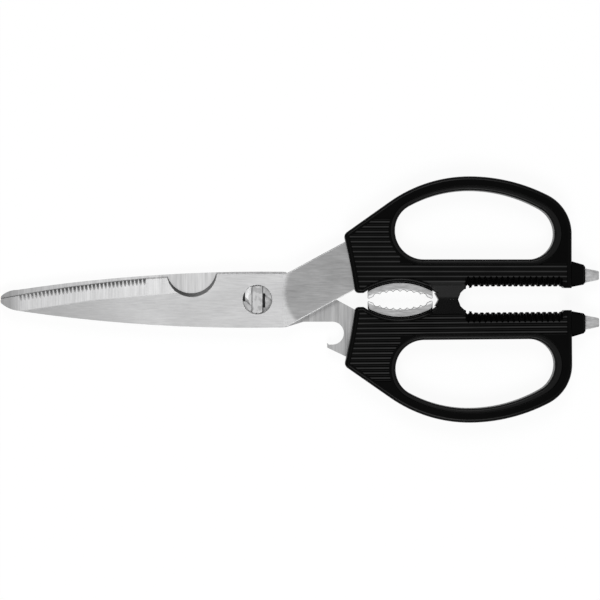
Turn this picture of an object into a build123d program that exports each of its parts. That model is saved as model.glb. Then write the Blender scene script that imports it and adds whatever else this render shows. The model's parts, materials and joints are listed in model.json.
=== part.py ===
from build123d import *
import math
import os

# Kitchen shears with take-apart blades, lying closed on the table.
# All is drawn about the pivot: blades to -X, handles to +X, the front half's blade on top.
# Each half is drawn as the front one, and the rear one is that turned over about the X axis.
# Lengths are millimetres and angles are degrees.

# Fits
running_clearance = 0.05   # round the pivot shank and under its head
head_clearance = 0.08      # round the ends of the pivot head
blade_gap = 0.1            # between the two blades
stop_gap = 0.16            # between the two closed stop pads
overrun = 5.0              # how far cutters run past what they cut

# Blades
stock_thickness = 3.0
blade_reach = 98.0         # pivot to tip
spine_offset = 10.6        # mid-line to spine beside the pivot
front_edge_offset = 9.7    # mid-line to cutting side beside the pivot
rear_edge_offset = 10.6
neck_start = 10.6          # pivot to where the neck turns off
neck_chamfer = 0.35
grind_start = 11.4         # pivot to the run-out of the ground face
grind_depth = 0.4
grind_radius = 8.0         # run-out left by the grinding wheel
tip_depth = 1.0            # what the ground face loses at the tip
bevel_width = 6.6          # cutting bevel, measured from the edge
bevel_drop = 1.5
edge_land = 0.15           # flat left at the very edge
edge_bevel_angle = 60

# Outline of the blades, as shares of the reach and of the offset on that side
front_spine_shares = ((0.501, 0.849), (0.936, 0.395))
rear_spine_shares = ((0.501, 0.813), (0.936, 0.349))
nose_shares = ((0.974, 0.275), (0.996, 0.14), (0.9995, 0.03))
edge_tip_share = (0.99, 0.062)
edge_mid_share = (0.568, 0.703)
edge_end_share = 0.157

# Serration of the front edge
flute_pitch = 1.49
flute_length = 1.9
flute_depth = 0.35
flute_start = 7.6          # from the tip to the first flute
smooth_edge = 6.6          # from the last flute to the notch

# Bone notch in the front blade
notch_x = -24.96
notch_y = 10.48
notch_radius = 9.64
notch_slant = 1.58         # how far the wall leans in from the outer to the inner face
notch_slant_angle = 100

# Bottle opener in the rear neck
opener_x = 28.65           # pivot to the centre of its round end
opener_y = 12.82
opener_radius = 4.38
opener_lead = 17.7         # pivot to the end of the slanted lead-in
hook_reach = 2.05          # from the round end's centre back to the hook
hook_bite = 0.7

# Pivot
recess_diameter = 11.0
recess_depth = 1.2
recess_chamfer = 0.2
shank_diameter = 6.6
head_width = 4.3
head_thickness = 1.1
head_chamfer = 0.3
head_angle = 90
release_angle = 127        # opening at which the head lines up with its slot
tail_diameter = 5.0
washer_diameter = 11.0
washer_thickness = 0.8
rivet_diameter = 7.6
rivet_height = 0.7

# Finger hole
hole_start = 52.4          # pivot to its near end
hole_length = 60.6
hole_floor = 15.3          # mid-line to its inner side
hole_height = 26.2
crown_x = 80.7             # pivot to the crown of the loop
near_rise_share = 0.42
far_rise_share = 0.37
near_radius_share = 0.7
far_radius_share = 0.665
lip_width = 1.6            # hole to the step round it
lip_widening = 1.0         # of the lip at the far end
lip_bevel = 1.1
lip_step = 0.45            # the lip lies this much below the handle's face

# Handle
handle_thickness = 11.0
handle_start = 32.9        # pivot to the outer near corner
bow_width = 5.4            # plastic over the crown
far_width = 6.6            # plastic past the far end of the hole
corner_share = 0.53        # height of the near corner in that of the crown
slant_share = 0.65         # where the slanted side would reach the crown's height
outer_radius_share = 0.755
near_side_bulge = 0.3
corner_radius = 2.2
edge_bevel = 1.3
heel_length = 2.8          # past the grip
heel_height = 4.4          # mid-line to the inner side there
heel_step = 0.7
lobe_start = 37.3          # pivot to the inner near corner
lobe_floor = 2.5
lobe_radius = 1.6
small_round = 0.8

# Stop pad
pad_start = 69.0
pad_length = 7.4
pad_lead = 1.4
pad_trail = 2.3
pad_foot_share = 0.78      # height of the pad's shoulder in that of the grip
pad_bend_shares = (0.4, 0.66)
pad_slope_depth = 0.9
pad_slope_length = 6.0

# Finger grip on the inner side
grip_height = 5.0
grip_lead = 2.7            # from the stop pad to the first valley
grip_pitch = 2.16
grip_depth = 0.55
grip_valley_floor = 0.3
grip_crest = 0.9
grip_land = 1.6            # half the flat left between the two facets
grip_facet = 3.3

# Ribbed panel
recess_bevel = 1.2
recess_margin = 1.6
rib_pitch = 1.89
rib_width = 0.75
rib_count = 13
rib_first = 6.9            # mid-line to the lowest rib
rib_depth = 0.4
rib_drop = 0.1             # of the ribs below the plain margin
panel_margin = 1.9
lip_margin = 0.9

# End boss
boss_length = 5.2
boss_width = 8.8
boss_thickness = 9.4
boss_taper = 1.0
boss_chamfer = 0.7

# Screwdriver tip
driver_y = 9.2
driver_width = 5.56
driver_end_width = 3.3
driver_thickness = 2.4
driver_end_thickness = 1.0
driver_reach = 5.5         # how far it stands out of the boss
driver_root = 20.0         # how far it runs into the handle
driver_window = 2.4        # where the plastic flows through it
driver_round = 0.5

# Jaw
jaw_x = 54.4
recess_radius = 24.8
recess_top = 6.8           # mid-line to the top of the recess
jaw_thickness = 7.0
jaw_length = 24.6
jaw_inner_radius = 29.6
jaw_bite = 2.9             # mid-line to the tips of its teeth
jaw_pitch = 2.6
jaw_end = 1.8              # plain ends past the teeth
jaw_tooth_depth = 0.8
jaw_break = 0.35           # edges broken all round
lug_length = 11.0
lug_thickness = 3.0
tab_length = 6.0           # the lug's tab, up through the tang
tab_width = 1.6

# Tang
tang_cover = 2.3           # plastic over the tang's edges
tang_gap = 8.8             # from the tang to the driver's root
entry_depth = 3.0          # where the neck's sides end inside the handle
low_entry_wall = 3.0
front_entry_wall = 1.5
rear_entry_wall = 2.1
key_length = 6.0           # windows that the plastic flows through
key_width = 2.0

# The rear handle sits turned by this much from a mirror image
rear_lean = 0.5

# Heights and places that follow
half_thickness = handle_thickness / 2
inner_face = blade_gap / 2
outer_face = inner_face + stock_thickness
ground_face = outer_face - grind_depth
recess_floor = ground_face - recess_depth
head_bottom = recess_floor + running_clearance
grind_tilt = math.degrees(math.atan2(tip_depth - grind_depth, blade_reach + grind_start))
hole_end = hole_start + hole_length
hole_crown = hole_floor + hole_height
crown_height = hole_crown + bow_width
handle_end = hole_end + far_width
corner_height = corner_share * crown_height
recess_centre = (jaw_x, recess_top - recess_radius)
heel_start = handle_end - heel_length
pad_end = pad_start + pad_length
pad_foot = pad_foot_share * grip_height
grip_start = pad_end + grip_lead
grip_count = int((heel_start - heel_step - grip_start) / grip_pitch)
boss_end = handle_end + boss_length
driver_tip = boss_end + driver_reach
driver_start = boss_end - driver_root
tang_end = driver_start - tang_gap
bar_low = recess_top + tang_cover
bar_high = hole_floor - tang_cover
bar_middle = (bar_low + bar_high) / 2
jaw_teeth = int((jaw_length - 2 * jaw_end) / jaw_pitch)
flute_run = blade_reach - flute_start - smooth_edge + notch_x - notch_radius
flute_count = int(flute_run / flute_pitch)


def blade_outline(spine_shares, edge_offset):
    """The blade up to the neck, and the circle that its cutting edge follows."""
    spine = [(-x * blade_reach, -y * spine_offset) for x, y in spine_shares + nose_shares]
    root = (neck_start, -spine_offset)
    edge_tip = (-edge_tip_share[0] * blade_reach, edge_tip_share[1] * front_edge_offset)
    edge_mid = (-edge_mid_share[0] * blade_reach, edge_mid_share[1] * front_edge_offset)
    edge_end = (-edge_end_share * blade_reach, front_edge_offset)
    shoulder = (neck_start, edge_offset)
    edge = ThreePointArc(edge_tip, edge_mid, edge_end)
    outline = Curve() + [
        ThreePointArc(root, spine[0], spine[1]),
        ThreePointArc(spine[1], spine[2], spine[3]),
        ThreePointArc(spine[3], spine[4], edge_tip),
        edge,
        Line(edge_end, shoulder),
        Line(shoulder, root),
    ]
    return make_face(outline), edge


def neck_outline(edge_offset, entry_wall):
    """The bare neck, from the blade to just inside the handle."""
    return make_face(Polyline(
        (neck_start, -spine_offset),
        (lobe_start + entry_depth, lobe_floor + low_entry_wall),
        (handle_start + entry_depth, corner_height - entry_wall),
        (neck_start, edge_offset),
        close=True,
    ))


def plate(face):
    """A flat face as stock between the inner and outer faces of a blade."""
    return Pos(0, 0, inner_face) * extrude(face, stock_thickness)


def half_crown(crown, side, end_x, end_rise, end_radius):
    """From the crown out to the end of a loop: a wide arc, then a tight one."""
    run = abs(end_x - crown[0]) - end_radius
    rise = crown[1] - end_rise
    radius = (run**2 + rise**2 - end_radius**2) / (2 * (rise - end_radius))
    turn = math.degrees(math.atan2(run, radius - rise))
    wide = JernArc(crown, (side, 0), radius, -side * turn)
    tight = JernArc(wide @ 1, wide % 1, end_radius, -side * (90 - turn))
    return [wide, tight]


def finger_hole():
    """The hole's outline as a face."""
    crown = (crown_x, hole_crown)
    near_rise = near_rise_share * hole_height
    far_rise = far_rise_share * hole_height
    near_radius = near_radius_share * (hole_height - near_rise)
    far_radius = far_radius_share * (hole_height - far_rise)
    near = half_crown(crown, -1, hole_start, hole_floor + near_rise, near_radius)
    far = half_crown(crown, 1, hole_end, hole_floor + far_rise, far_radius)
    near_foot = JernArc(near[-1] @ 1, (0, -1), near_rise, 90)
    far_foot = JernArc(far[-1] @ 1, (0, -1), far_rise, -90)
    return make_face(Curve() + near + far + [near_foot, far_foot, Line(near_foot @ 1, far_foot @ 1)])


def handle_outline():
    """The handle's outer outline as a face, without the hole and the boss."""
    crown = (crown_x, crown_height)
    corner = (handle_start, corner_height)
    lobe = (lobe_start, lobe_floor)
    slant_run = slant_share * (crown_x - handle_start)
    slant = math.degrees(math.atan2(crown_height - corner_height, slant_run))
    near_radius = (crown_x - handle_start - slant_run) / math.tan(math.radians(slant / 2))
    near_arc = JernArc(crown, (-1, 0), near_radius, slant)
    far_rise = hole_floor + far_rise_share * hole_height
    far = half_crown(crown, 1, handle_end, far_rise, outer_radius_share * (crown_height - far_rise))
    inner_side = Polyline(
        lobe,
        (pad_start - pad_lead, lobe_floor),
        (pad_start, stop_gap / 2),
        (pad_end, stop_gap / 2),
        (pad_end + pad_bend_shares[0] * pad_trail, pad_bend_shares[1] * pad_foot),
        (pad_end + pad_trail, pad_foot),
        (pad_end + 3 * pad_trail, grip_height),
        (heel_start - heel_step, grip_height),
        (heel_start, heel_height),
        (handle_end, heel_height),
    )
    return make_face(Curve() + far + [
        near_arc,
        Line(near_arc @ 1, corner),
        SagittaArc(corner, lobe, near_side_bulge),
        inner_side,
        Line((handle_end, heel_height), far[-1] @ 1),
    ])


def tang_outline(entry_wall):
    """The hidden tang: a web beside the finger hole and a bar along its inner side."""
    return make_face(Polyline(
        (handle_start + entry_depth / 2, lobe_floor + tang_cover),
        (lobe_start + entry_depth, lobe_floor + tang_cover),
        (lobe_start + entry_depth, bar_low),
        (tang_end, bar_low),
        (tang_end, bar_high),
        (hole_start - tang_cover, bar_high),
        (hole_start - tang_cover, corner_height - entry_wall),
        (handle_start + entry_depth / 2, corner_height - entry_wall),
        close=True,
    ))


def recess(widening=0):
    """The round recess for the jaw, down to the lobe beside it."""
    disc = Pos(*recess_centre) * Circle(recess_radius + widening)
    above = Rectangle(2 * recess_radius, recess_radius, align=(Align.CENTER, Align.MIN))
    return disc & (Pos(jaw_x, lobe_floor) * above)


def recess_cut():
    """The recess right through the handle, and the bevels round its rims."""
    hole = extrude(recess(), handle_thickness, both=True)
    flare = recess_bevel + overrun
    cone = Cone(recess_radius, recess_radius + flare, flare)
    beside = Pos(jaw_x, lobe_floor + recess_radius, 0) * Box(
        jaw_length + 4 * recess_bevel, 2 * recess_radius, 4 * handle_thickness)
    bevel = Pos(*recess_centre, half_thickness - recess_bevel + flare / 2) * cone & beside
    return [hole] + both_faces(bevel)


def neck(edge_offset, entry_wall):
    """The neck at full stock, its long outer edges broken."""
    solid = plate(neck_outline(edge_offset, entry_wall))
    rim = solid.edges().group_by(Axis.Z)[-1]
    sides = rim.filter_by(lambda e: abs(e.tangent_at(0).X) > 0.5)
    return chamfer(sides, neck_chamfer)


def grind_cut():
    """What the wheel takes off the outer face, thinning the blade to its tip."""
    run_out = math.sqrt(2 * grind_radius * grind_depth - grind_depth**2)
    turn = math.degrees(math.acos(1 - grind_depth / grind_radius))
    foot = (grind_start - run_out, ground_face)
    far = -blade_reach - overrun
    profile = Curve() + [
        JernArc(foot, (1, 0), grind_radius, turn),
        Line(foot, (far, outer_face - tip_depth)),
        Polyline(
            (far, outer_face - tip_depth),
            (far, outer_face + overrun),
            (grind_start, outer_face + overrun),
            (grind_start, outer_face),
        ),
    ]
    return extrude(Plane.XZ * make_face(profile), spine_offset + overrun, both=True)


def edge_cut(edge, profile, first_x, last_x):
    """A cutter that follows the edge's circle, from the tip to the notch."""
    centre = edge.arc_center
    angles = [math.acos((x - centre.X) / edge.radius) for x in (first_x, last_x)]
    ray = Vector(math.cos(angles[1]), math.sin(angles[1]), 0)
    upright = Plane(origin=centre, x_dir=ray, z_dir=ray.cross(Vector(0, 0, 1)))
    sketch = make_face(Polyline(*[(edge.radius + r, z) for r, z in profile], close=True))
    sweep = math.degrees(angles[0] - angles[1])
    return revolve(upright * sketch, Axis(centre, (0, 0, 1)), sweep)


def bevel_cut(edge, last_x):
    """The wide cutting bevel, parallel to the ground face."""
    top = ground_face
    slope = bevel_drop / bevel_width
    profile = (
        (-bevel_width, top),
        (overrun, top - bevel_drop - overrun * slope),
        (overrun, top + overrun),
        (-bevel_width, top + overrun),
    )
    cutter = edge_cut(edge, profile, -blade_reach - overrun, last_x)
    return Rot(0, -grind_tilt, 0) * cutter


def edge_bevel_cut(edge, last_x):
    """The steep narrow bevel at the very edge."""
    rise = overrun * math.tan(math.radians(edge_bevel_angle))
    low = inner_face + edge_land
    profile = ((-overrun, low + rise), (0, low), (overrun, low), (overrun, low + rise))
    return edge_cut(edge, profile, -blade_reach - overrun, last_x)


def flutes(edge):
    """Small tilted V cuts, a row of them along the bevel."""
    centre = edge.arc_center
    tilt = math.degrees(math.atan2(bevel_drop, bevel_width) + math.atan2(flute_depth, flute_length))
    start = math.acos((-blade_reach + flute_start - centre.X) / edge.radius)
    step = flute_pitch / edge.radius
    tip_face = ground_face - (tip_depth - grind_depth)
    side = 2 * math.sqrt(2) * flute_depth
    groove = Pos(0, 0, 2 * flute_depth) * Rot(0, 45, 0) * Box(side, 4 * flute_length, side)
    cuts = []
    for k in range(flute_count):
        angle = start - k * step
        x = centre.X + edge.radius * math.cos(angle)
        y = centre.Y + edge.radius * math.sin(angle)
        face = tip_face + (tip_depth - grind_depth) * (x + blade_reach) / (blade_reach + grind_start)
        turn = math.degrees(angle) - 90
        place = Pos(x, y, face - bevel_drop - flute_depth) * Rot(0, 0, turn)
        cuts.append(place * Rot(-tilt, 0, 0) * groove)
    return cuts


def notch_cut():
    """The bone notch: a round hole whose wall leans in towards the inner face."""
    lean = math.radians(notch_slant_angle)
    depth = ground_face - inner_face
    shift_x = notch_slant * math.cos(lean) / depth
    shift_y = notch_slant * math.sin(lean) / depth
    rings = []
    for z in (inner_face - overrun, ground_face + overrun):
        drop = ground_face - z
        place = (notch_x + shift_x * drop, notch_y + shift_y * drop, z)
        rings.append(Pos(*place) * Circle(notch_radius))
    return loft(rings)


def pivot_cut():
    """The round recess for the head and the slot that lets it through."""
    radius = recess_diameter / 2
    bore = Pos(0, 0, recess_floor) * extrude(Circle(radius), overrun)
    flare = recess_chamfer + overrun
    rim_z = ground_face - recess_chamfer
    rim = Pos(0, 0, rim_z + flare / 2) * Cone(radius, radius + flare, flare)
    width = shank_diameter + 2 * running_clearance
    slot = Rectangle(recess_diameter, width) & Circle(radius)
    slot = Rot(0, 0, head_angle - release_angle) * slot
    through = Pos(0, 0, -overrun) * extrude(slot, 2 * overrun)
    return [bore, rim, through]


def tang_windows():
    """Two windows that the plastic flows through, and the slot for the jaw's tab."""
    web_key = ((handle_start + hole_start) / 2, (lobe_floor + corner_height) / 2)
    bar_key = ((pad_end + tang_end) / 2, bar_middle)
    key = Box(key_length, key_width, 4 * stock_thickness)
    slot = Pos(jaw_x, bar_middle) * Box(tab_length, tab_width, 4 * stock_thickness)
    return [Pos(*web_key) * key, Pos(*bar_key) * key, slot]


def blank(spine_shares, edge_offset, entry_wall, lean=0):
    """A blade with its neck and tang, ground but not yet sharpened."""
    outline, edge = blade_outline(spine_shares, edge_offset)
    solid = plate(outline) + neck(edge_offset, entry_wall)
    solid -= grind_cut()
    solid += set_in(plate(tang_outline(entry_wall)), lean)
    return solid - [set_in(window, lean) for window in tang_windows()], edge


def set_in(solid, lean):
    """Turned about the middle of the stop pad, as the handle is."""
    middle = pad_start + pad_length / 2
    return Pos(middle, 0, 0) * Rot(0, 0, lean) * Pos(-middle, 0, 0) * solid


def front_blade():
    solid, edge = blank(front_spine_shares, front_edge_offset, front_entry_wall)
    solid -= bevel_cut(edge, notch_x)
    solid -= edge_bevel_cut(edge, notch_x)
    solid -= flutes(edge)
    solid -= notch_cut()
    return solid - pivot_cut()


def opener_cut():
    """The bottle opener: a round-ended slot from the neck's side, under a hook."""
    low = opener_y - opener_radius
    high = opener_y + opener_radius
    hook = opener_x - hook_reach
    beyond = corner_height + overrun
    return make_face(Curve() + [
        Line((neck_start, rear_edge_offset), (opener_lead, low)),
        Line((opener_lead, low), (opener_x, low)),
        ThreePointArc((opener_x, low), (opener_x + opener_radius, opener_y), (opener_x, high)),
        Polyline(
            (opener_x, high),
            (hook + hook_bite, high),
            (hook, high - hook_bite),
            (hook + hook_bite, beyond),
            (neck_start, beyond),
            (neck_start, rear_edge_offset),
        ),
    ])


def rear_blade():
    solid, edge = blank(rear_spine_shares, rear_edge_offset, rear_entry_wall, -rear_lean)
    edge_end = -edge_end_share * blade_reach
    solid -= bevel_cut(edge, edge_end)
    solid -= edge_bevel_cut(edge, edge_end)
    solid -= extrude(opener_cut(), 4 * stock_thickness, both=True)
    return solid - Cylinder(tail_diameter / 2, 4 * stock_thickness)


def both_faces(cutter):
    """A cutter for the outer face, and its mirror image for the inner one."""
    return [cutter, mirror(cutter, Plane.XY)]


def from_top(sketch, depth):
    """A flat cut of that depth in the handle's outer face."""
    return Pos(0, 0, half_thickness - depth) * extrude(sketch, depth + overrun)


def handle_blank():
    """The rounded body with its finger hole, sunk and rolled lip, and jaw recess."""
    body = extrude(handle_outline(), half_thickness, both=True)
    near_corner = (handle_start, corner_height, 0)
    lobe_corner = (lobe_start, lobe_floor, 0)
    body = fillet(body.edges().filter_by(Axis.Z).sort_by_distance(near_corner)[0], corner_radius)
    body = fillet(body.edges().filter_by(Axis.Z).sort_by_distance(lobe_corner)[0], lobe_radius)
    rims = body.edges().filter_by(lambda e: abs(e.center().Z) > half_thickness / 2)
    outer = rims.filter_by(lambda e: e.center().Y > crown_height / 3 or e.center().X < lobe_start)
    body = chamfer(outer, edge_bevel)
    body -= extrude(finger_hole(), handle_thickness, both=True)
    body -= both_faces(from_top(lip_area(), lip_step))
    levels = body.faces().filter_by(Axis.Z).group_by(Axis.Z)
    lips = [levels[1][0], levels[-2][0]]
    body = chamfer([edge for face in lips for edge in face.inner_wires()[0].edges()], lip_bevel)
    return body - recess_cut()


def lip_area(widening=0):
    """The finger hole and the lip round it, wider at the far end."""
    area = offset(finger_hole(), lip_width + widening)
    return area + Pos(lip_widening, 0) * area


def panel():
    """Where the ribs lie: the near web and the inner bar, inside a plain margin."""
    inset = offset(handle_outline(), -panel_margin) - lip_area(lip_margin) - recess(recess_margin)
    web = Rectangle(hole_start + panel_margin - handle_start, crown_height, align=Align.MIN)
    bar = Rectangle(handle_end - handle_start, hole_floor - lip_width, align=Align.MIN)
    return inset & (Pos(handle_start, 0) * (web + bar))


def rib_grooves():
    """The grooves with sloped sides that leave the ribs standing."""
    floor = half_thickness - rib_depth
    half_mouth = (rib_pitch - rib_width) / 2
    half_floor = half_mouth - rib_depth
    section = make_face(Polyline(
        (-half_floor, floor),
        (half_floor, floor),
        (half_mouth, half_thickness),
        (half_mouth, half_thickness + overrun),
        (-half_mouth, half_thickness + overrun),
        (-half_mouth, half_thickness),
        close=True,
    ))
    bar = extrude(Plane.YZ * section, handle_end - handle_start)
    rows = [rib_first + (k - 0.5) * rib_pitch for k in range(rib_count + 1)]
    bars = Part() + [Pos(handle_start, y, 0) * bar for y in rows]
    return both_faces(bars & from_top(panel(), rib_depth)) + both_faces(from_top(panel(), rib_drop))


def wedge(y, land, length, first_x, last_x):
    """A long wedge that slopes the inner side down from the outer face to a land."""
    rise = (half_thickness - land) / length
    beyond = overrun * rise
    profile = make_face(Polyline(
        (y - overrun, land - beyond),
        (y + length + overrun, half_thickness + beyond),
        (y - overrun, half_thickness + beyond),
        close=True,
    ))
    return Pos(first_x, 0, 0) * extrude(Plane.YZ * profile, last_x - first_x)


def grip_cut():
    """Two facets along the grip, and valleys across them."""
    first = grip_start
    last = heel_start - heel_step
    cuts = both_faces(wedge(grip_height, grip_land, grip_facet, first, last))
    slope = math.degrees(math.atan2(half_thickness - grip_land, grip_facet))
    valley = valley_cutter(2 * grip_land)
    down = Pos(0, grip_height, grip_land) * Rot(slope - 90, 0, 0)
    across = down * Pos(0, 0, handle_thickness / 2) * valley_cutter(handle_thickness)
    for k in range(grip_count):
        x = first + (k + 0.5) * grip_pitch
        cuts.append(Pos(x, grip_height, 0) * valley)
        cuts += both_faces(Pos(x, 0, 0) * across)
    return cuts


def valley_cutter(length):
    """A bar along Z whose section is one valley of the grip, opening towards -Y."""
    half_floor = grip_valley_floor / 2
    half_mouth = (grip_pitch - grip_crest) / 2
    section = make_face(Polyline(
        (-half_floor, grip_depth),
        (half_floor, grip_depth),
        (half_mouth, 0),
        (half_mouth, -overrun),
        (-half_mouth, -overrun),
        (-half_mouth, 0),
        close=True,
    ))
    return extrude(section, length / 2, both=True)


def boss():
    """The block at the far end that holds the screwdriver tip."""
    low = driver_y - boss_width / 2
    high = driver_y + boss_width / 2
    plan = make_face(Polyline(
        (handle_end - far_width / 2, low),
        (handle_end, low),
        (boss_end, low + boss_taper),
        (boss_end, high - boss_taper / 2),
        (handle_end, high + boss_taper),
        (handle_end - far_width / 2, high + boss_taper),
        close=True,
    ))
    block = extrude(plan, boss_thickness / 2, both=True)
    outside = [edge for edge in block.edges() if edge.center().X > handle_end]
    block = chamfer(ShapeList(outside).filter_by(Axis.Z), boss_chamfer)
    rims = [edge for edge in block.edges() if edge.center().X > handle_end and edge.center().Z]
    return chamfer(ShapeList(rims).filter_by(lambda e: abs(e.center().Z) > boss_thickness / 4), small_round)


def driver():
    """The screwdriver tip: a flat bar, narrowed and thinned outside the boss."""
    half = driver_width / 2
    half_tip = driver_end_width / 2
    plan = make_face(Polyline(
        (driver_start, -half), (boss_end, -half), (driver_tip, -half_tip),
        (driver_tip, half_tip), (boss_end, half), (driver_start, half),
        close=True,
    ))
    bar = extrude(plan, driver_thickness / 2, both=True)
    corners = bar.edges().filter_by(Axis.Z).group_by(Axis.X)[-1]
    bar = fillet(corners, driver_round)
    side = make_face(Polyline(
        (driver_start, -driver_thickness / 2), (boss_end, -driver_thickness / 2),
        (driver_tip, -driver_end_thickness / 2), (driver_tip, driver_end_thickness / 2),
        (boss_end, driver_thickness / 2), (driver_start, driver_thickness / 2),
        close=True,
    ))
    bar &= extrude(Plane.XZ * side, driver_width, both=True)
    bar -= Pos(driver_start + driver_width, 0, 0) * Box(driver_window, driver_window, handle_thickness)
    return Pos(0, driver_y, 0) * bar


def jaw():
    """A toothed band let into the recess, with a lug and tab that hold it to the tang."""
    outer = Pos(*recess_centre) * Circle(recess_radius)
    inner_centre = jaw_bite - jaw_inner_radius
    inner = Pos(jaw_x, inner_centre) * Circle(jaw_inner_radius)
    window = Pos(jaw_x, 0) * Rectangle(jaw_length, 2 * recess_top)
    band = extrude((outer & window) - inner, jaw_thickness / 2, both=True)
    ends = band.edges().filter_by(Axis.Z).group_by(Axis.X)
    band = chamfer(ends[0] + ends[-1], jaw_break)
    back = band.edges().filter_by(lambda e: abs(e.center().Z) > jaw_thickness / 4)
    back = back.filter_by(lambda e: abs(e.length - jaw_length) < jaw_length / 2)
    band = chamfer(back.group_by(Axis.Y)[-1], jaw_break)
    radius = jaw_pitch**2 / (8 * jaw_tooth_depth) + jaw_tooth_depth / 2
    gap = Cylinder(radius, 2 * jaw_thickness)
    for k in range(jaw_teeth):
        turn = (k - (jaw_teeth - 1) / 2) * math.degrees(jaw_pitch / jaw_inner_radius)
        out = Pos(0, jaw_inner_radius + jaw_tooth_depth - radius, 0)
        band -= Pos(jaw_x, inner_centre, 0) * Rot(0, 0, turn) * out * gap
    return band + lug()


def lug():
    """The jaw's lug below the tang, and its tab through the tang."""
    low = (jaw_bite + recess_top) / 2
    high = bar_middle + tab_width
    middle = (jaw_x, (low + high) / 2, inner_face - lug_thickness / 2)
    block = Pos(*middle) * Box(lug_length, high - low, lug_thickness)
    tab = Rectangle(tab_length, tab_width)
    return block + Pos(jaw_x, bar_middle, inner_face) * extrude(tab, stock_thickness)


def moulding():
    """The whole handle but for what is moulded in."""
    body = handle_blank() - rib_grooves()
    pad_first = jaw_x + jaw_length / 2
    pad_land = half_thickness - pad_slope_depth
    body -= both_faces(wedge(0, pad_land, pad_slope_length, pad_first, grip_start))
    return body - grip_cut() + boss()


def handle(body, edge_offset, entry_wall, lean=0):
    """The moulding round one blade's neck and tang, its jaw's lug and its driver."""
    tang = plate(tang_outline(entry_wall)) - tang_windows()
    body = set_in(body - tang - lug() - driver(), lean)
    return body - plate(neck_outline(edge_offset, entry_wall))


def pivot_stud():
    """Tail, round shank and bar head in one piece, riveted below the washer."""
    tail_end = -outer_face - washer_thickness
    tail = Pos(0, 0, tail_end) * extrude(Circle(tail_diameter / 2), -tail_end - inner_face)
    rivet = Pos(0, 0, tail_end - rivet_height) * extrude(Circle(rivet_diameter / 2), rivet_height)
    shank = Pos(0, 0, -inner_face) * extrude(Circle(shank_diameter / 2), head_bottom + inner_face)
    bar = Circle(recess_diameter / 2 - head_clearance) & Rectangle(recess_diameter, head_width)
    head = Rot(0, 0, head_angle) * Pos(0, 0, head_bottom) * extrude(bar, head_thickness)
    head = chamfer(head.edges().group_by(Axis.Z)[-1], head_chamfer)
    return tail + rivet + shank + head


def pivot_washer():
    """A plain washer."""
    ring = Circle(washer_diameter / 2) - Circle(tail_diameter / 2)
    return Pos(0, 0, -outer_face - washer_thickness) * extrude(ring, washer_thickness)


def rear(solid):
    """A piece of the rear half, from its drawing as a front one."""
    return Rot(180, 0, 0) * solid


handle_body = moulding()
nodes = {
    "front_blade": front_blade(),
    "front_handle": handle(handle_body, front_edge_offset, front_entry_wall),
    "front_jaw": jaw(),
    "front_driver": driver(),
    "rear_blade": rear(rear_blade()),
    "rear_handle": rear(handle(handle_body, rear_edge_offset, rear_entry_wall, -rear_lean)),
    "rear_jaw": rear(set_in(jaw(), -rear_lean)),
    "rear_driver": rear(set_in(driver(), -rear_lean)),
    "pivot_stud": pivot_stud(),
    "pivot_washer": pivot_washer(),
}

box = Compound([solid.solid() for solid in nodes.values()]).bounding_box()
origin = Pos(-box.center().X, -box.center().Y, -box.min.Z)

os.makedirs("parts", exist_ok=True)
for name, solid in nodes.items():
    export_step(origin * solid, f"parts/{name}.step")
print("size", box.size)
print("pivot", origin.position)
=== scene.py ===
import json
import math

import bmesh
import bpy
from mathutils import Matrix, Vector


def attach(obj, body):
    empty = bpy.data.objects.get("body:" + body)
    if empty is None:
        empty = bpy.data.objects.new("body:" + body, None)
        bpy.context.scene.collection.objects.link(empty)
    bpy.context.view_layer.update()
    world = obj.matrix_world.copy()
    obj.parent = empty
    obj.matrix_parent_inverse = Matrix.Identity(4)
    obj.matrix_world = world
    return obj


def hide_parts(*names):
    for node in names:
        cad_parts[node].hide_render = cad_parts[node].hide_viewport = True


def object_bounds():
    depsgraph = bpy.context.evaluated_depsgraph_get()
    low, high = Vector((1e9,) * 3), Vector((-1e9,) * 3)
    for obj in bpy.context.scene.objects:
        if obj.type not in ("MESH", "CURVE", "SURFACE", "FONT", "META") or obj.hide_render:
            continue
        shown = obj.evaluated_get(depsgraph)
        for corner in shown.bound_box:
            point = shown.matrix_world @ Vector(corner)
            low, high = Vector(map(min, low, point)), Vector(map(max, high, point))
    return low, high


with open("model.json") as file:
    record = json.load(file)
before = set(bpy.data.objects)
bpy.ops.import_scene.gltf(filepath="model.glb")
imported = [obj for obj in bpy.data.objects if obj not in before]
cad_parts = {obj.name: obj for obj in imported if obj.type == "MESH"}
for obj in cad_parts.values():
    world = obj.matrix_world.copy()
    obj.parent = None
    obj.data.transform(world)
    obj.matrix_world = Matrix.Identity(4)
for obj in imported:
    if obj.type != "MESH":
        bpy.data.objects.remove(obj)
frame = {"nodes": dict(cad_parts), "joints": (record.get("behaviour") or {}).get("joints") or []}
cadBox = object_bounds()
print("frame loaded")

# Every measure below is in mm from the pivot: blades to -X, handles to +X, up is +Z
mm = 0.001
pivot = Vector(frame["joints"][0]["pos_m"])


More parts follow.
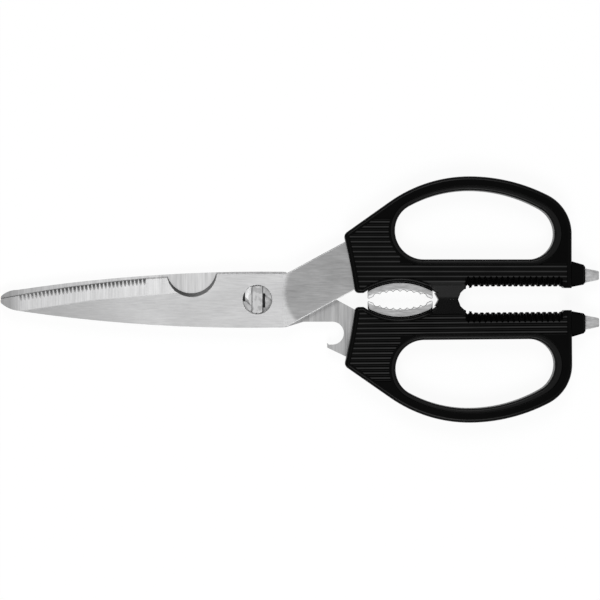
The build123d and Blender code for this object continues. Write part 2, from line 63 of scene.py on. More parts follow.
class Wire:  # one value of a shader; arithmetic on it adds Math nodes
    def __init__(self, finish, socket):
        self.finish = finish
        self.socket = socket

    def math(self, operation, first, second=0.0):
        return self.finish.add("ShaderNodeMath", {"operation": operation}, {0: first, 1: second})

    def __add__(self, other):
        return self.math("ADD", self, other)

    def __radd__(self, other):
        return self.math("ADD", other, self)

    def __sub__(self, other):
        return self.math("SUBTRACT", self, other)

    def __rsub__(self, other):
        return self.math("SUBTRACT", other, self)

    def __mul__(self, other):
        return self.math("MULTIPLY", self, other)

    def __rmul__(self, other):
        return self.math("MULTIPLY", other, self)

    def __truediv__(self, other):
        return self.math("DIVIDE", self, other)

    def __neg__(self):
        return self.math("MULTIPLY", self, -1.0)

    def __abs__(self):
        return self.math("ABSOLUTE", self)

    def __pow__(self, other):
        return self.math("POWER", self, other)

    def above(self, low, high):  # 0 at low and 1 at high, smooth between
        edges = {0: self, 1: low, 2: high, 3: 0.0, 4: 1.0}
        return self.finish.add("ShaderNodeMapRange", {"interpolation_type": "SMOOTHSTEP"}, edges)

    def below(self, high, low):  # 1 at low and 0 at high
        return 1 - self.above(low, high)

    def between(self, low, lowFull, highFull, high):  # 1 from lowFull to highFull, 0 outside low and high
        return self.above(low, lowFull) * self.below(high, highFull)

    def either(self, other):
        return self.math("MAXIMUM", self, other)


class Finish:  # one material, built by adding nodes
    def __init__(self, name):
        self.material = bpy.data.materials.new(name)
        self.material.use_nodes = True
        self.tree = self.material.node_tree
        self.tree.nodes.clear()

    def add(self, kind, settings=None, sockets=None, out=0):
        node = self.tree.nodes.new(kind)
        for key, value in (settings or {}).items():
            setattr(node, key, value)
        for key, value in (sockets or {}).items():
            if isinstance(value, Wire):
                self.tree.links.new(value.socket, node.inputs[key])
            else:
                node.inputs[key].default_value = value
        return Wire(self, node.outputs[out]) if node.outputs else None

    def place(self):  # the piece's own coordinates from the pivot in mm: whole, then x, y and z
        raw = self.add("ShaderNodeTexCoord", out="Object")
        moved = self.add("ShaderNodeVectorMath", {"operation": "SUBTRACT"}, {0: raw, 1: pivot})
        scaled = self.add("ShaderNodeVectorMath", {"operation": "SCALE"}, {0: moved, "Scale": 1 / mm})
        split = self.add("ShaderNodeSeparateXYZ", sockets={0: scaled})
        axes = [Wire(self, socket) for socket in split.socket.node.outputs]
        return scaled, *axes

    def noise(self, place, perMm, detail=2.0, roughness=0.5):  # 0 to 1; perMm is one figure or three
        squeeze = perMm if isinstance(perMm, tuple) else (perMm,) * 3
        spot = self.add("ShaderNodeVectorMath", {"operation": "MULTIPLY"}, {0: place, 1: squeeze})
        sockets = {"Vector": spot, "Scale": 1.0, "Detail": detail, "Roughness": roughness}
        return self.add("ShaderNodeTexNoise", None, sockets)

    def tone(self, level):  # a neutral colour from one value
        return self.add("ShaderNodeCombineColor", None, {0: level, 1: level, 2: level * 1.005})

    def bump(self, height, strength, depthMm):
        sockets = {"Height": height, "Strength": strength, "Distance": depthMm * mm}
        return self.add("ShaderNodeBump", None, sockets)

    def surface(self, **sockets):
        named = {key[0].upper() + key[1:]: value for key, value in sockets.items()}
        named = {key.replace("BaseColor", "Base Color"): value for key, value in named.items()}
        named = {key.replace("Specular", "Specular IOR Level"): value for key, value in named.items()}
        named = {key.replace("Coat", "Coat "): value for key, value in named.items()}
        shader = self.add("ShaderNodeBsdfPrincipled", None, named)
        self.add("ShaderNodeOutputMaterial", None, {"Surface": shader})
        return self.material


# Ground steel of the blades. Grinding lines run along the blade on its outer face and neck,
# and across it on the cutting bevel and on the inner face.
bladeLook = {
    "groundTone": 0.60,
    "tipShade": (0.76, -85.0, -30.0),    # painted shade: share of the ground tone at the tip, and where it fades out
    "bevelTone": 0.60,
    "bevelDepth": (0.03, 0.10),          # how far a bevelled face lies below the ground face
    "bevelEnd": (-15.0, -14.0),
    "innerTone": 0.62,
    # painted shade: the inner face darker towards the tip, fading out over this run
    "innerShade": (0.8, -88.0, -66.0),
    "innerHeight": (0.12, 0.25),
    "neckTone": 0.36,
    "rearNeckTone": 0.44,
    "neckFront": (0.037, 3.0),           # the neck's tone begins on a curve: its bend, and its middle in y
    "neckFade": (9.0, 11.5),
    "neckRise": 0.577,                   # of the neck's sides, mm per mm
    "plungeHighlight": 0.42,                  # painted highlight on the step between blade and neck
    "plungeRun": (8.9, 10.4, 10.3, 11.4),
    "plungeHeight": (2.5, 2.6, 3.055, 3.07),
    "tipTone": 0.35,
    "tipFade": (-95.0, -88.5),
    # painted highlight on the neck's chamfers
    "paintedChamferTone": 0.98,
    "chamferEdgeShadeTone": 0.16,             # painted shade on the far chamfer's outer edge
    "chamferHeight": (2.69, 2.72, 3.02, 3.045),
    "chamferEdge": (2.86, 2.90),
    "chamferStart": (11.5, 11.1, 9.45),  # in x, and in x and y where the neck leaves the blade
    "farSide": (4.0, 5.0),               # in y, above a line along the neck
    "alongGrain": (0.20, 2.2, 2.2),
    "acrossGrain": (1.5, 0.05, 0.05),
    "alongCloud": (0.05, 0.10, 0.10),
    "acrossCloud": (0.35, 0.03, 0.03),
    "lineSwing": 0.56,
    "cloudSwing": 0.30,
    "moreSwing": (0.5, 0.7),             # across the bevel, and on the neck
    "roughness": 0.52,
    "lineDepth": 0.012,
    "groundHeight": (2.65, 2.05),        # of the outer face from the middle plane, at neckX and at tipX
    "neckX": 11.4,
    "tipX": -98.0,
    "edgePoints": ((-97.02, 0.601), (-55.66, 6.819), (-15.39, 9.7)),
    "wellEdge": (29.5, 31.0),            # squares of the well's radius
}

# painted shade in the flutes
fluteLook = {
    "tone": (0.15, 0.29),                # at a flute's sides and along its middle
    "first": -90.4,
    "pitch": 1.49,
    "count": 33,
    "half": 0.58,
    "length": 2.7,
    "sideFade": (-0.03, 0.05),
    "middleFade": (0.12, 0.24),
    "tipFade": (-98.0, -72.0),
    "footFade": 0.4,
    "lighten": (0.85, 0.16),             # at the edge, and more for each mm from it
}

# painted shade on the notch's leaning wall
notchLook = {
    "tone": 0.22,
    "circle": (-24.96, 10.48, 9.64),
    "within": 0.04,
    "height": (2.3, 2.5),
    "lighten": (0.5, -4.0, 7.0),         # at its tip side, and the run in x over which it brightens
}


def circleThrough(points):  # centre x, centre y, radius
    (ax, ay), (bx, by), (cx, cy) = points
    twice = 2 * (ax * (by - cy) + bx * (cy - ay) + cx * (ay - by))
    x = ((ax**2 + ay**2) * (by - cy) + (bx**2 + by**2) * (cy - ay) + (cx**2 + cy**2) * (ay - by)) / twice
    y = ((ax**2 + ay**2) * (cx - bx) + (bx**2 + by**2) * (ax - cx) + (cx**2 + cy**2) * (bx - ax)) / twice
    return x, y, math.hypot(ax - x, ay - y)


# What lies round the pivot's head: worn steel, with a painted wedge of light, and painted shade beside the
# bar and in a corner
wellLook = {
    "tone": 0.46,
    "wear": (0.45, 1.1),
    "lightTone": 0.92,
    "paintedShadeTone": 0.02,
    "light": (1.05, 3.8),                # slope and offset of the side of the wedge of painted light
    "lightFade": (-0.1, 0.25),
    "lightEnd": (-2.4, -2.2),
    "strip": (2.1, 3.1, -3.3, 2.6),      # from x to x, from y to y
    "cornerX": (-4.9, -4.5),
    "cornerY": (-1.0, -0.4, 2.6, 3.2),
}


def barShade(x, y):
    left, right, low, high = wellLook["strip"]
    return x.between(left, left + 0.1, right - 0.2, right) * y.between(low, low + 0.4, high - 0.4, high)


def wellTone(steel, place, x, y):
    look = wellLook
    worn = steel.noise(place, 0.45, 3.0, 0.6)
    slope, offset = look["light"]
    lightFull, lightNone = look["lightEnd"]
    cornerFull, cornerNone = look["cornerX"]
    # painted light on a wedge of the well
    inLight = (y + slope * x + offset).above(*look["lightFade"]) * x.below(lightNone, lightFull)
    shadedCorner = x.below(cornerNone, cornerFull) * y.between(*look["cornerY"])
    least, swing = look["wear"]
    tone = look["tone"] * (least + swing * worn)
    tone = tone + (look["lightTone"] - tone) * inLight
    # painted shade beside the bar and in a corner
    return tone + (look["paintedShadeTone"] - tone) * barShade(x, y).either(shadedCorner)


# Ground flutes, evenly spaced round the same circle as the cutting edge, with painted shade in them, lighter
# along each flute's middle and further from the edge
def fluted(steel, tone, x, outward, centreX, radius, fromEdge, onBevel):
    look = fluteLook
    first = math.acos((look["first"] - centreX) / radius)
    turned = first - steel.add("ShaderNodeMath", {"operation": "ARCTAN2"}, {0: outward, 1: x - centreX})
    count = turned * (radius / look["pitch"])
    offCentre = abs(steel.add("ShaderNodeMath", {"operation": "FRACT"}, {0: count + 0.5}) - 0.5)
    taper = 1 - (fromEdge / look["length"]) ** 3.0
    inFlute = (look["half"] / look["pitch"] * taper - offCentre).above(*look["sideFade"])
    inFlute = inFlute * onBevel * x.above(*look["tipFade"]) ** 0.5
    inFlute = inFlute * fromEdge.below(look["length"], look["length"] - look["footFade"])
    inFlute = inFlute * count.between(-0.6, -0.4, look["count"] - 0.6, look["count"] - 0.4)
    sideTone, middleTone = look["tone"]
    middleFull, middleNone = look["middleFade"]
    fluteTone = sideTone + (middleTone - sideTone) * offCentre.below(middleNone, middleFull)
    atEdge, perMm = look["lighten"]
    # painted shade in the flutes
    return tone + (fluteTone * (atEdge + perMm * fromEdge) - tone) * inFlute


def notched(tone, x, y, height):  # painted shade on the notch's leaning wall, lighter towards the pivot
    look = notchLook
    notchX, notchY, radius = look["circle"]
    low, high = look["height"]
    least, start, end = look["lighten"]
    fromNotch = ((x - notchX) ** 2.0 + (y - notchY) ** 2.0) ** 0.5
    onWall = fromNotch.below(radius + look["within"], radius - look["within"]) * height.below(high, low)
    return tone + (look["tone"] * (least + x.above(notchX + start, notchX + end)) - tone) * onWall


def bladeSteel(name, edgeSide, neckTone):
    look = bladeLook
    steel = Finish(name)
    place, x, y, z = steel.place()
    height = abs(z)
    sideways = edgeSide * y
    atNeck, atTip = look["groundHeight"]
    slope = (atNeck - atTip) / (look["neckX"] - look["tipX"])
    groundHeight = atNeck - slope * (look["neckX"] - x)

    # the cutting bevel follows a circle
    centreX, centreY, radius = circleThrough(look["edgePoints"])
    outward = sideways - centreY
    fromEdge = radius - ((x - centreX) ** 2.0 + outward ** 2.0) ** 0.5
    bevelFull, bevelNone = look["bevelEnd"]
    onBevel = (groundHeight - height).above(*look["bevelDepth"]) * x.below(bevelNone, bevelFull)
    innerFull, innerNone = look["innerHeight"]
    onInner = height.below(innerNone, innerFull)
    across = onBevel.either(onInner)

    # the neck, the step that leads up to it, and its chamfers
    bend, middle = look["neckFront"]
    onNeck = (x - bend * (sideways - middle) ** 2.0).above(*look["neckFade"])
    onPlunge = x.between(*look["plungeRun"]) * height.between(*look["plungeHeight"])
    startX, sideX, sideY = look["chamferStart"]
    nearBlade = x.above(sideX, sideX + 0.1) * abs(y).above(sideY, sideY + 0.1)
    onChamfer = height.between(*look["chamferHeight"]) * x.above(startX, startX + 0.1).either(nearBlade)
    onFarSide = (sideways - look["neckRise"] * (x - look["neckX"])).above(*look["farSide"])
    edgeFull, edgeNone = look["chamferEdge"]
    # painted shade along the far chamfer's outer edge
    farEdgeShade = (look["chamferEdgeShadeTone"] - look["paintedChamferTone"]) * height.below(edgeNone, edgeFull) * onFarSide
    paintedChamferTone = look["paintedChamferTone"] + farEdgeShade

    along = steel.noise(place, look["alongGrain"], 5.0, 0.7)
    crosswise = steel.noise(place, look["acrossGrain"], 5.0, 0.66)
    patches = steel.noise(place, look["alongCloud"], 2.0)
    patchesAcross = steel.noise(place, look["acrossCloud"], 2.0)
    lines = along + (crosswise - along) * across
    cloud = patches + (patchesAcross - patches) * across

    shade, shadeFrom, shadeTo = look["tipShade"]
    innerShade, innerFrom, innerTo = look["innerShade"]
    tipFull, tipNone = look["tipFade"]
    # painted shade: the ground face darker towards the tip
    tone = look["groundTone"] * (shade + (1 - shade) * x.above(shadeFrom, shadeTo))
    tone = tone + (look["bevelTone"] - tone) * onBevel
    # painted shade: the inner face darker towards the tip
    innerTone = look["innerTone"] * (innerShade + (1 - innerShade) * x.above(innerFrom, innerTo))
    tone = tone + (innerTone - tone) * onInner
    tone = tone + (neckTone - tone) * onNeck
    # painted highlight on the step up to the neck
    tone = tone * (1 + look["plungeHighlight"] * onPlunge)
    tone = tone + (look["tipTone"] - tone) * x.below(tipNone, tipFull)
    moreAcross, moreOnNeck = look["moreSwing"]
    swing = 1 + moreAcross * across + moreOnNeck * onNeck
    tone = tone * (1 + swing * (look["lineSwing"] * (lines - 0.5) + look["cloudSwing"] * (cloud - 0.5)))
    # painted highlight on the neck's chamfers: near white, and not metal there
    tone = tone + (paintedChamferTone - tone) * onChamfer
    wellFull, wellNone = look["wellEdge"]
    inWell = (x * x + y * y).below(wellNone, wellFull)
    tone = tone + (wellTone(steel, place, x, y) - tone) * inWell
    if edgeSide > 0:
        tone = fluted(steel, tone, x, outward, centreX, radius, fromEdge, onBevel)
        tone = notched(tone, x, y, height)
    rough = look["roughness"] + 0.10 * (lines - 0.5) + 0.03 * onNeck
    return steel.surface(
        baseColor=steel.tone(tone), metallic=1 - onChamfer, roughness=rough,
        normal=steel.bump(lines, 0.6, look["lineDepth"]))


pivotLook = {
    "tone": 0.60,
    "smudgeTone": 0.42,
    "smudgeFade": (0.45, 0.60),
    "shadeHeight": (0.0, 0.1, 1.6, 1.7),
    "roughness": 0.42,
    "lineDepth": 0.006,
}


def pivotSteel():
    look = pivotLook
    steel = Finish("pivotSteel")
    place, x, y, z = steel.place()
    lines = steel.noise(place, (2.0, 0.2, 0.2), 4.0)
    smudge = steel.noise(place, 0.4, 2.0).above(*look["smudgeFade"])
    tone = look["tone"] + (look["smudgeTone"] - look["tone"]) * smudge
    tone = tone * (0.85 + 0.3 * lines)
    # painted shade beside the bar, on the stud too
    tone = tone + (wellLook["paintedShadeTone"] - tone) * (barShade(x, y) * z.between(*look["shadeHeight"]))
    return steel.surface(
        baseColor=steel.tone(tone), metallic=1.0, roughness=look["roughness"] + 0.1 * lines,
        normal=steel.bump(lines, 0.5, look["lineDepth"]))


# Cast or pressed steel with a blasted skin. A jaw's band has a painted highlight on its rim, towards the
# teeth, and at its ends, and a painted shade line at one height round its outline.
blastedLook = {
    "tone": 0.43,
    "driverTone": 0.53,
    "rimHighlightTone": 0.85,
    "roughness": 0.55,
    "grainPerMm": 5.0,
    "grainDepth": 0.015,
    "bandInner": (54.4, -26.7, 29.6),    # circle through the tips of the teeth
    "rimWidth": 1.15,
    "rimFade": 0.35,
    "endReach": (11.9, 12.2),
    "outlineShadeTone": 0.03,
    "outlineHeight": (3.26, 3.28, 3.47, 3.49),
}


def blastedSteel(name, banded):
    look = blastedLook
    steel = Finish(name)
    place, x, y, z = steel.place()
    grain = steel.noise(place, look["grainPerMm"], 3.0, 0.65)
    cloud = steel.noise(place, (0.30, 1.5, 1.5), 4.0, 0.6)
    tone = look["tone" if banded else "driverTone"] * (0.20 + 0.30 * grain + 1.30 * cloud)
    if banded:
        middleX, middleY, radius = look["bandInner"]
        fromMiddle = ((x - middleX) ** 2.0 + (abs(y) - middleY) ** 2.0) ** 0.5
        rimEnd = radius + look["rimWidth"]
        onRim = fromMiddle.below(rimEnd, rimEnd - look["rimFade"])
        onEnd = abs(x - middleX).above(*look["endReach"])
        # painted highlight on the band's rim and ends
        tone = tone + (look["rimHighlightTone"] - tone) * onRim.either(onEnd)
        # painted shade line at one height round the outline
        tone = tone + (look["outlineShadeTone"] - tone) * abs(z).between(*look["outlineHeight"])
    return steel.surface(
        baseColor=steel.tone(tone), metallic=1.0, roughness=look["roughness"] + 0.12 * (grain - 0.5),
        normal=steel.bump(grain, 0.5, look["grainDepth"]))


# Black moulded plastic. Each handle's mesh holds how far a point lies from the mid-line, and the kind
# of face that it is on: these numbers.
faceKinds = {"plain": 0.0, "rim": 1.0, "lip": 2.0, "crest": 3.0, "groove": 4.0}
plasticLook = {
    "tone": 0.0010,
    "crestHighlightTone": 0.030,
    "grooveTone": 0.008,
    "lipHighlightTone": 0.006,
    "padHighlightTone": 0.016,
    "roughness": 0.32,
    "specular": 0.055,
    "coat": 0.11,
    "coatRoughness": 0.34,
    "grainPerMm": 7.0,
    "grainDepth": 0.008,
    "seam": (0.02, 0.10),
    "padLean": 0.766,                    # the stop pad's painted highlight follows the jaw's side
    "padX": (69.4, 70.0, 78.6, 79.0),
    "padY": (0.5, 1.3, 6.7, 7.1),
    "firstRib": 6.9,
    "ribPitch": 1.89,
    "ribCount": 13,
    "ribHalf": 0.30,
    "grooveFade": (0.30, 0.42),          # shares of the ribs' pitch
}


def blackPlastic():
    look = plasticLook
    plastic = Finish("handlePlastic")
    place, x, y, z = plastic.place()
    grain = plastic.noise(place, look["grainPerMm"], 3.0, 0.6)
    cloud = plastic.noise(place, 0.12, 3.0)
    seamFull, seamNone = look["seam"]
    seam = abs(z).below(seamNone, seamFull)
    fromMiddle = plastic.add("ShaderNodeAttribute", {"attribute_name": "fromMiddle"}, out="Fac")
    kind = plastic.add("ShaderNodeAttribute", {"attribute_name": "faceKind"}, out="Fac")

    def onKinds(first, last):
        low, high = faceKinds[first], faceKinds[last]
        return kind.between(low - 0.4, low - 0.1, high + 0.1, high + 0.4)

    onCrest = onKinds("crest", "crest")
    count = (fromMiddle - look["firstRib"]) / look["ribPitch"]
    offCentre = abs(plastic.add("ShaderNodeMath", {"operation": "FRACT"}, {0: count + 0.5}) - 0.5)
    narrow = look["ribHalf"] / look["ribPitch"]
    # painted highlight along each rib's crest
    ribHighlight = offCentre.below(narrow * 1.3, narrow * 0.5)
    ribHighlight = ribHighlight * count.below(look["ribCount"] - 0.4, look["ribCount"] - 0.6)
    inGroove = offCentre.above(*look["grooveFade"]) * onKinds("groove", "groove")
    tone = look["tone"] * (0.75 + 0.5 * cloud) + look["grooveTone"] * inGroove
    tone = tone + look["crestHighlightTone"] * onCrest * ribHighlight * (0.6 + 0.8 * cloud)
    # painted highlight on the finger holes' lips
    tone = tone + look["lipHighlightTone"] * onKinds("lip", "lip")
    # painted highlight on the front handle's stop pad only
    padFrom, padFromFull, padToFull, padTo = look["padX"]
    onPadLight = (x + look["padLean"] * y).above(padFrom, padFromFull) * x.below(padTo, padToFull)
    tone = tone + look["padHighlightTone"] * onPadLight * y.between(*look["padY"])
    rough = look["roughness"] + 0.10 * (grain - 0.5) + 0.06 * (cloud - 0.5)
    return plastic.surface(
        baseColor=plastic.tone(tone), roughness=rough, specular=look["specular"],
        coatWeight=look["coat"] * onKinds("rim", "lip"), coatRoughness=look["coatRoughness"],
        normal=plastic.bump(grain - 4 * seam, 0.35, look["grainDepth"]))


frontSteel = bladeSteel("frontBladeSteel", 1, bladeLook["neckTone"])
rearSteel = bladeSteel("rearBladeSteel", -1, bladeLook["rearNeckTone"])
studSteel = pivotSteel()
jawSteel = blastedSteel("jawSteel", True)
driverSteel = blastedSteel("driverSteel", False)
handlePlastic = blackPlastic()
print("materials made")

coats = {
    "front_blade": frontSteel,
    "rear_blade": rearSteel,
    "pivot_stud": studSteel,
    "pivot_washer": studSteel,
    "front_jaw": jawSteel,
    "rear_jaw": jawSteel,
    "front_driver": driverSteel,
    "rear_driver": driverSteel,
    "front_handle": handlePlastic,
    "rear_handle": handlePlastic,
}
for node, coat in coats.items():
    for slot in frame["nodes"][node].material_slots:
        slot.material = coat
print("materials given to the frame's nodes")


def faceTilt(face):  # 0 flat, 1 upright
    return 1 - abs(face.normal.z)


def roundEdges(bm, edges, width, segments):
    bmesh.ops.bevel(
        bm, geom=edges, offset=width * mm, offset_type="OFFSET", affect="EDGES", segments=segments,
        profile=0.5, material=-1, clamp_overlap=False, loop_slide=True)
    bm.normal_update()


def cleanCopy(node):  # the node's own mesh with its seams closed and its flats made whole
    bm = bmesh.new()
    bm.from_mesh(frame["nodes"][node].data)
    bmesh.ops.remove_doubles(bm, verts=bm.verts, dist=0.02 * mm)
    bmesh.ops.dissolve_limit(bm, angle_limit=math.radians(0.6), verts=bm.verts, edges=bm.edges)
    bm.normal_update()
    return bm


def finishPiece(bm, name, node, body, coat, sharpFrom=38):
    mesh = bpy.data.meshes.new(name)
    bm.to_mesh(mesh)
    bm.free()
    importedNormals = mesh.attributes.get("custom_normal")
    if importedNormals:
        mesh.attributes.remove(importedNormals)
    mesh.materials.append(coat)
    mesh.shade_smooth()
    mesh.set_sharp_from_angle(angle=math.radians(sharpFrom))
    piece = bpy.data.objects.new(name, mesh)
    bpy.context.scene.collection.objects.link(piece)
    normals = piece.modifiers.new("evenNormals", "WEIGHTED_NORMAL")
    normals.keep_sharp = True
    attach(piece, body)
    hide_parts(node)
    return piece


# The blades: the frame's solid, its ground face led up to the neck in one soft curve
bladeShape = {
    "sharpFrom": 6,
    "soft": (8.6, 11.6),                 # no sharp edge between these, on faces that are nearly flat
    "flatFrom": 0.9,
    "run": (8.85, 11.4),
    "rise": (2.65, 3.05),
    "runSlack": (0.1, 0.05),
    "riseSlack": 0.05,
    "chamferFoot": (1.4, 0.10),          # this far along the run, a point this low is the chamfer's
}


def makeBlade(name, node, body, coat, side):
    shape = bladeShape
    bm = cleanCopy(node)
    (start, end), (low, high) = shape["run"], shape["rise"]
    before, after = shape["runSlack"]
    slack = shape["riseSlack"]
    footFrom, footHeight = shape["chamferFoot"]
    for vert in bm.verts:
        spot = (vert.co - pivot) / mm
        height = side * spot.z
        onRun = start - before < spot.x < end + after and low - slack < height < high + slack
        onChamfer = spot.x > start + footFrom and height < low + footHeight
        if onRun and not onChamfer:
            share = min(max((spot.x - start) / (end - start), 0), 1)
            vert.co.z = pivot.z + side * (low + (high - low) * share**2 * (3 - 2 * share)) * mm
    bm.normal_update()
    mesh = finishPiece(bm, name, node, body, coat, shape["sharpFrom"]).data
    softFrom, softTo = shape["soft"]
    flat = {}
    for face in mesh.polygons:
        for key in face.edge_keys:
            flat.setdefault(key, []).append(abs(face.normal.z))
    for edge in mesh.edges:
        first, second = (mesh.vertices[index].co.x for index in edge.vertices)
        middle = ((first + second) / 2 - pivot.x) / mm
        if softFrom < middle < softTo and min(flat[edge.key]) > shape["flatFrom"]:
            edge.use_edge_sharp = False


makeBlade("frontBlade", "front_blade", "front_half", frontSteel, 1)
makeBlade("rearBlade", "rear_blade", "rear_half", rearSteel, -1)
print("blades made")


# The moulded handles: the frame's solid with the flat chamfers of its rims rolled round
handleShape = {
    "slopeTilt": (0.26, 0.33),
    "rimSpans": ((3.95, 5.05), (4.2, 5.5), (4.3, 5.5)),  # feet and tops: lip, outer rim, recess
    "spanFit": 0.02,
    "rollCuts": 4,
    "rollFrom": 0.3,                     # an edge that climbs less is left whole
    "rollMargin": 0.05,
    "flatTilt": 0.01,
    "wallTilt": 0.98,
    "topDrop": 0.02,
    "crestDrop": (0.05, 0.15),           # how far each kind of face lies below the handle's top
    "lipDrop": (0.43, 0.47),
    "grooveDrop": (0.37, 0.43),
    "stepRound": 0.32,                   # of the edge above the sunk lip
    "stepSegments": 3,
    "turnedAt": 72.7,                    # the rear handle is turned a little about here
    "padReach": (66.0, 82.0, 0.15),      # the stop pads' meeting faces: from, to, within this of the mid-line
    "padGap": 0.001,                     # that each keeps from it
}
frameHalf = max(abs(corner[2] - pivot.z) for corner in cadBox) / mm


def heightsOf(item):  # of its corners from the middle plane
    return [abs(vert.co.z - pivot.z) / mm for vert in item.verts]


def isSlope(face):
    low, high = handleShape["slopeTilt"]
    return low < faceTilt(face) < high


def rimSpan(face):  # the heights of the rim that a slanted face is part of, or None
    if not isSlope(face):
        return None
    low, high = min(heightsOf(face)), max(heightsOf(face))
    fit = handleShape["spanFit"]
    matches = [(abs(low - foot) < fit, abs(high - top) < fit) for foot, top in handleShape["rimSpans"]]
    matches = dict(zip(handleShape["rimSpans"], matches))
    whole = [span for span, match in matches.items() if all(match)]
    part = [span for span, match in matches.items() if any(match)]
    return (whole + part + [None])[0]


def rollRims(bm):
    spans = handleShape["rimSpans"]
    rim = bm.faces.layers.int.new("rim")
    across = {}  # the edges to cut, by their number of cuts
    for face in bm.faces:
        span = rimSpan(face)
        face[rim] = spans.index(span) + 1 if span else 0
        for edge in face.edges if span else ():
            reach = max(heightsOf(edge)) - min(heightsOf(edge))
            if reach > handleShape["rollFrom"]:
                cuts = max(1, round(handleShape["rollCuts"] * reach / (span[1] - span[0])))
                across.setdefault(cuts, {})[edge] = span
    for cuts, edges in across.items():
        edges = [edge for edge in edges if edge.is_valid]
        bmesh.ops.subdivide_edges(bm, edges=edges, cuts=cuts, use_grid_fill=True)
    bm.normal_update()
    margin = handleShape["rollMargin"]
    moves = []
    for vert in bm.verts:
        slopes = [face for face in vert.link_faces if face[rim] and isSlope(face)]
        if not slopes:
            continue
        foot, top = spans[max(face[rim] for face in slopes) - 1]
        height = abs(vert.co.z - pivot.z) / mm
        if foot + margin < height < top - margin:
            radius = (top - foot) * mm
            outward = sum((face.normal for face in slopes), Vector()).normalized()
            share = (top - height) / (top - foot) - 0.5
            bulge = radius * (math.sqrt(1 - 2 * share**2) - math.sqrt(0.5))
            moves.append((vert, outward * bulge))
    for vert, move in moves:
        vert.co += move
    bm.normal_update()


def dropsOf(item):  # how far its corners lie below the handle's top or above its underside
    return [frameHalf - height for height in heightsOf(item)]


def faceKind(face):
    drop = min(dropsOf(face))
    if faceTilt(face) < handleShape["flatTilt"]:
        for kind in ("crest", "lip", "groove"):
            low, high = handleShape[kind + "Drop"]
            if low < drop < high:
                return faceKinds[kind]
        return faceKinds["plain"]
    span = rimSpan(face)
    if not span:
        return faceKinds["plain"]
    return faceKinds["lip" if span == handleShape["rimSpans"][0] else "rim"]


def roundStep(bm):  # the edge above the sunk lip
    lipLow, lipHigh = handleShape["lipDrop"]
    atTop = handleShape["topDrop"]
    edges = []
    for face in bm.faces:
        drops = dropsOf(face)
        if faceTilt(face) > handleShape["wallTilt"] and min(drops) < atTop and lipLow < max(drops) < lipHigh:
            edges += [edge for edge in face.edges if max(dropsOf(edge)) < atTop and edge not in edges]
    roundEdges(bm, edges, handleShape["stepRound"], handleShape["stepSegments"])


def makeHandle(name, node, body, side, lean):
    bm = cleanCopy(node)
    roundStep(bm)
    kinds = bm.faces.layers.float.new("faceKind")
    for face in bm.faces:
        face[kinds] = faceKind(face)
    rollRims(bm)
    fromMiddle = bm.verts.layers.float.new("fromMiddle")
    turn = math.radians(lean)
    turnedAt = handleShape["turnedAt"]
    padStart, padEnd, within = handleShape["padReach"]
    for vert in bm.verts:
        spot = (vert.co - pivot) / mm
        vert[fromMiddle] = side * spot.y * math.cos(turn) + (spot.x - turnedAt) * math.sin(turn)
        if padStart < spot.x < padEnd and abs(spot.y) < within:
            vert.co.y = pivot.y + side * handleShape["padGap"] * mm
    finishPiece(bm, name, node, body, handlePlastic)


makeHandle("frontHandle", "front_handle", "front_half", 1, 0.0)
makeHandle("rearHandle", "rear_handle", "rear_half", -1, 0.5)
print("handles made")


# The cast jaws and the screwdriver tips, their edges eased
jawShape = {
    "round": 0.2,
    "segments": 2,
    "turnFrom": 28,                      # an edge turns at least this many degrees to be eased
    "merge": 0.08,                       # corners closer than this become one first
}


def makeEased(name, node, body, coat):
    shape = jawShape
    bm = cleanCopy(node)
    bmesh.ops.remove_doubles(bm, verts=list(bm.verts), dist=shape["merge"] * mm)
    bm.normal_update()
    sharp = [edge for edge in bm.edges if edge.calc_face_angle(0) > math.radians(shape["turnFrom"])]
    roundEdges(bm, sharp, shape["round"], shape["segments"])
    finishPiece(bm, name, node, body, coat)


for half in ("front", "rear"):
    makeEased(half + "Jaw", half + "_jaw", half + "_half", jawSteel)
    makeEased(half + "Driver", half + "_driver", half + "_half", driverSteel)
print("jaws and screwdriver tips made")


# Floor: its shadows show on its matt share
floorLook = {"size": 8.0, "drop": 0.03, "tone": 0.86, "shownWhite": 0.88, "glow": 1.04}


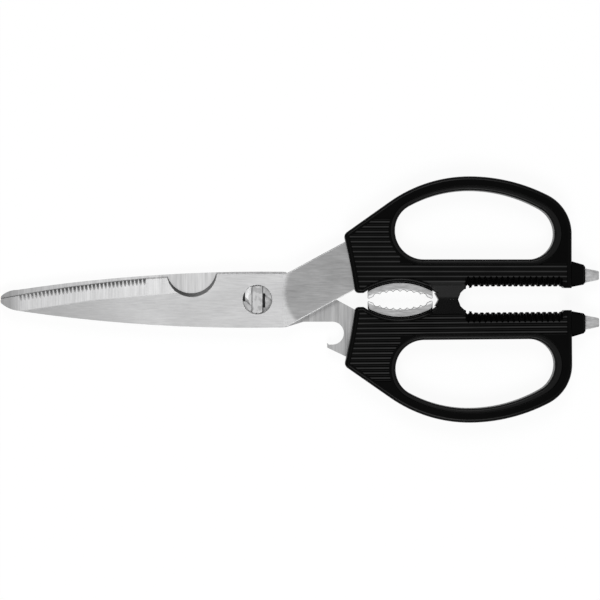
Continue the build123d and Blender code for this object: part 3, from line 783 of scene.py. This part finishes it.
def makeFloor():
    look = floorLook
    paper = Finish("floorPaper")
    path = [paper.add("ShaderNodeLightPath", out=ray) for ray in (
        "Is Camera Ray", "Is Glossy Ray", "Is Transmission Ray")]
    seen = path[0].either(path[1]).either(path[2])
    matt = paper.add("ShaderNodeBsdfDiffuse", None, {"Color": (look["tone"],) * 3 + (1,)})
    white = paper.add("ShaderNodeEmission", None, {"Color": (1, 1, 1, 1), "Strength": look["glow"]})
    mixed = paper.add("ShaderNodeMixShader", None, {0: seen * look["shownWhite"], 1: matt, 2: white})
    paper.add("ShaderNodeOutputMaterial", None, {"Surface": mixed})
    bm = bmesh.new()
    bmesh.ops.create_grid(bm, x_segments=1, y_segments=1, size=look["size"] / 2)
    bmesh.ops.translate(bm, verts=bm.verts, vec=(0, 0, -look["drop"] * mm))
    mesh = bpy.data.meshes.new("floor")
    bm.to_mesh(mesh)
    bm.free()
    mesh.materials.append(paper.material)
    floor = bpy.data.objects.new("floor", mesh)
    bpy.context.scene.collection.objects.link(floor)


makeFloor()

# Light: even room light and two soft boxes. Each is its place, its size and its brightness.
roomLight = 0.26
softBoxes = {
    "nearSide": ((0.0, -0.60, 1.04), 0.50, 7.5),
    "farSide": ((0.0, 0.62, 1.02), 0.50, 5.5),
}


def makeLight():
    world = bpy.data.worlds.new("room")
    bpy.context.scene.world = world
    world.use_nodes = True
    back = world.node_tree.nodes["Background"]
    back.inputs["Color"].default_value = (1, 1, 1, 1)
    back.inputs["Strength"].default_value = roomLight
    for name, (place, size, brightness) in softBoxes.items():
        lamp = bpy.data.lights.new(name, "AREA")
        lamp.shape = "SQUARE"
        lamp.size = size
        lamp.energy = brightness * math.pi * size**2
        box = bpy.data.objects.new(name, lamp)
        box.location = place
        box.rotation_euler = (-Vector(place)).to_track_quat("-Z", "Y").to_euler()
        bpy.context.scene.collection.objects.link(box)


makeLight()

# Camera straight above, a long lens, the shears from edge to edge of the picture
cameraSetup = {
    "lens": 200.0,
    "sensor": 36.0,
    "viewWidth": 228.6,                  # seen at focusHeight above the floor
    "focusHeight": 7.5,
    "aim": (16.2693, -0.1524),
    "clip": (0.05, 50.0),                # in metres
}


def makeCamera():
    setup = cameraSetup
    data = bpy.data.cameras.new("camera")
    data.lens = setup["lens"]
    data.sensor_width = setup["sensor"]
    data.clip_start, data.clip_end = setup["clip"]
    height = setup["viewWidth"] * setup["lens"] / setup["sensor"] + setup["focusHeight"]
    camera = bpy.data.objects.new("camera", data)
    aimX, aimY = setup["aim"]
    camera.location = (pivot.x + aimX * mm, pivot.y + aimY * mm, height * mm)
    bpy.context.scene.collection.objects.link(camera)
    bpy.context.scene.camera = camera


makeCamera()
bpy.context.scene.view_settings.view_transform = "Standard"
print("floor, light and camera made")
